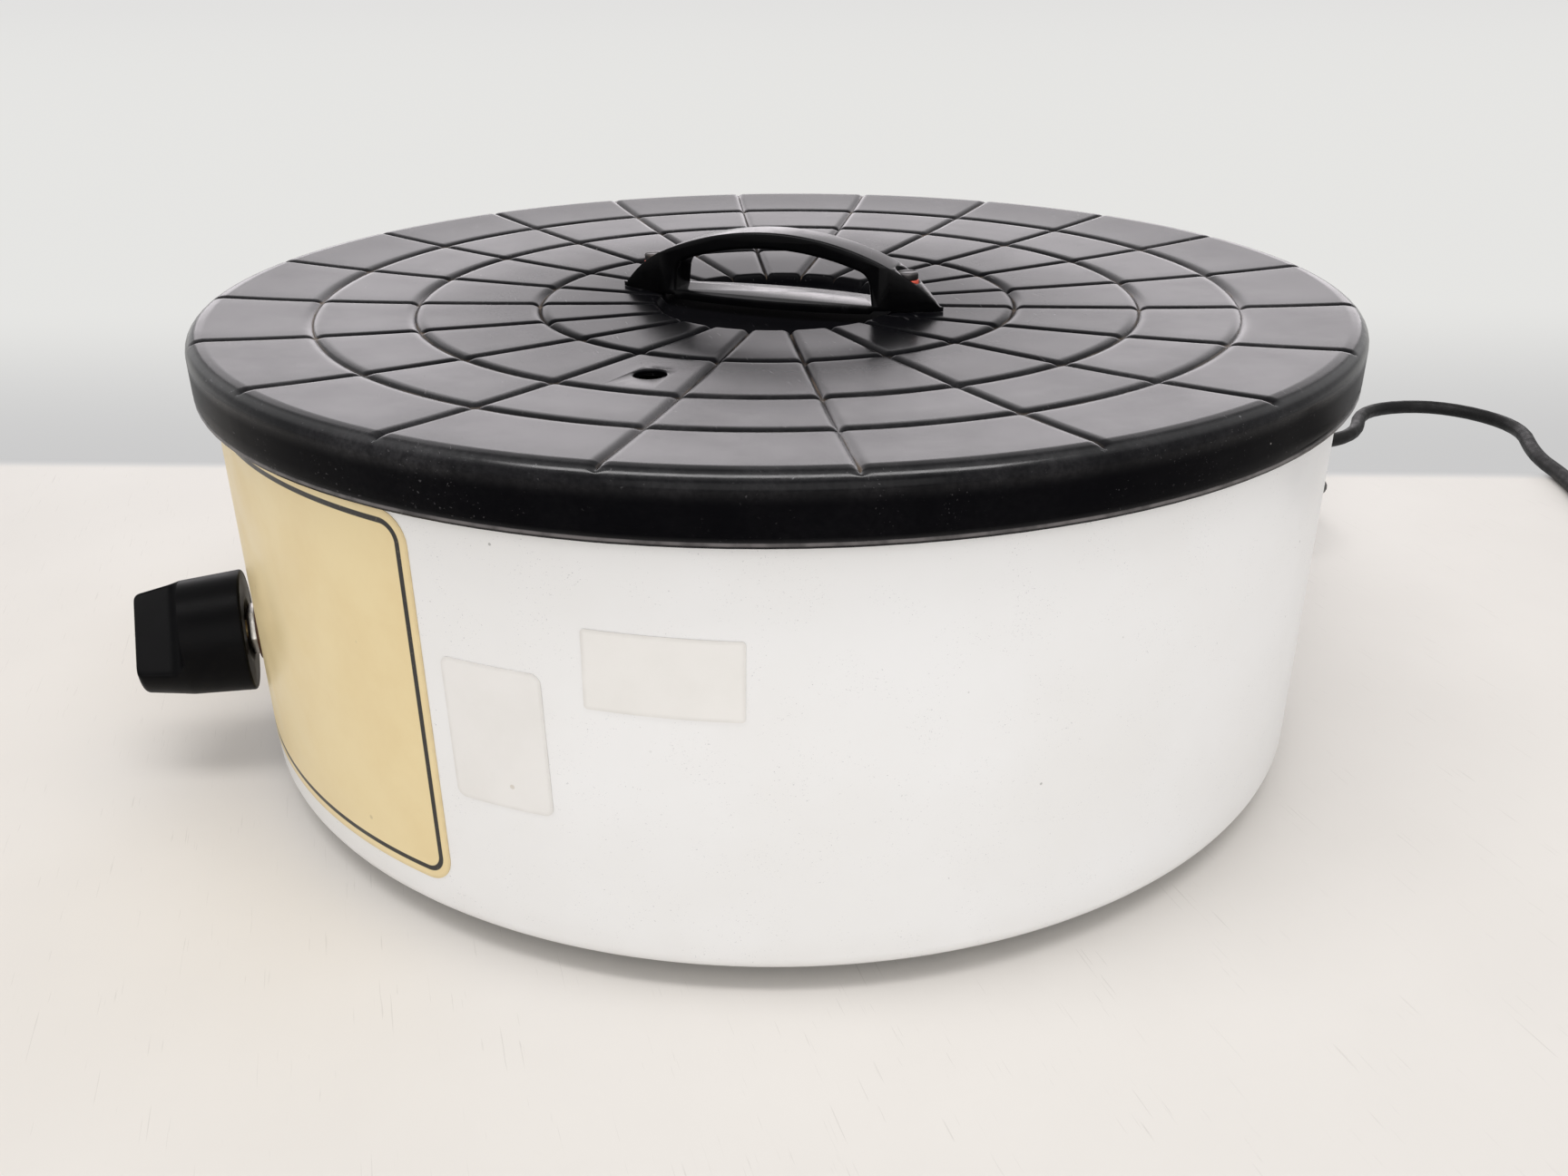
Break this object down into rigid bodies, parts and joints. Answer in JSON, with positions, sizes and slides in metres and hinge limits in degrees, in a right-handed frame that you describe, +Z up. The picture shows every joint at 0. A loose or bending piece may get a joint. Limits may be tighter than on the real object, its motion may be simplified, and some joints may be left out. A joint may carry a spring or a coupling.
{
  "type": "tissue flotation bath",
  "caption": "Round heated water bath for floating out tissue sections, with a patterned lift-off lid and its handle, a control knob at the front and a mains lead at the back.",
  "frame": {"origin": "middle of the drum on the table: the point midway between front and back limits, level with the feet's undersides", "axes": "+Z up along the drum's axis; -Y is the front with the control knob; +Y is the back with the lead; +X is the bath's right when seen from the front"},
  "size_m": [0.35, 0.7255, 0.1535],
  "materials": {
    "casing": "smooth satin off-white enamel",
    "base_plate": "plain zinc-plated sheet",
    "feet": "matt moulded rubber",
    "steel_screws": "zinc-plated",
    "bowl": "black coating, semi-gloss",
    "seal": "silicone rubber",
    "element": "mica sheet",
    "clamp": "mill finish",
    "blanket": "glass-fibre felt",
    "cutout": "matt ceramic body",
    "copper_sensor": "dull copper",
    "thermostat": "brown moulding",
    "fibre_brown": "fibre washer",
    "nickel_nut": "nickel-plated",
    "knob": "moulded, slightly worn gloss",
    "pointer": "white paint fill",
    "brass_parts": "turned brass",
    "lamp_lens": "clear red-orange moulding",
    "label": "printed cream film with a black border line",
    "sticker": "plain off-white film",
    "terminal": "cream moulding",
    "rubber_black": "matt moulded rubber",
    "nylon_black": "moulded nylon",
    "lead_sheath": "smooth black sheath",
    "plug_black": "moulded",
    "fuse_cover": "moulded",
    "lid": "black coating, semi-gloss",
    "handle": "glossy black moulding",
    "fibre_red": "red fibre washer"
  },
  "bodies": {
    "bath": {"casing": "casing", "base_plate": "base_plate", "feet": "feet", "foot_screws": "steel_screws", "foot_nuts": "steel_screws", "base_screws": "steel_screws", "bowl": "bowl", "bowl_seal": "seal", "heating_element": "element", "clamp_plate": "clamp", "heater_studs": "steel_screws", "heater_nuts": "steel_screws", "insulation": "blanket", "thermal_cutout": "cutout", "sensor": "copper_sensor", "bulb_clip": "steel_screws", "thermostat": "thermostat", "bush_washer": "fibre_brown", "bush_nut": "nickel_nut", "pilot_holder": "plug_black", "pilot_lens": "lamp_lens", "fascia_label": "label", "upright_sticker": "sticker", "level_sticker": "sticker", "terminal_block": "terminal", "terminal_screws": "brass_parts", "earth_stud": "brass_parts", "earth_nuts": "brass_parts", "strain_relief": "rubber_black", "gland_nut": "nylon_black", "mains_lead": "lead_sheath", "lead_coil": "lead_sheath", "lead_tie": "nylon_black", "plug_body": "plug_black", "plug_pins": "brass_parts", "fuse_cover": "fuse_cover"},
    "lid": {"lid": "lid", "lid_handle": "handle", "screw_washers": "fibre_red", "handle_screws": "steel_screws", "nut_washers": "steel_screws", "handle_nuts": "steel_screws"},
    "knob": {"control_knob": "knob", "pointer_line": "pointer", "spindle": "steel_screws", "knob_insert": "brass_parts", "grub_screw": "steel_screws"}
  },
  "joints": [
    {"name": "lid_lift", "type": "slide", "parent": "bath", "child": "lid", "axis": [0, 0, 1], "range_m": [0, 0.08]},
    {"name": "knob_turn", "type": "hinge", "parent": "bath", "child": "knob", "pos_m": [0, -0.19, 0.0415], "axis": [0, -1, 0], "range_deg": [-187, 83]}
  ]
}
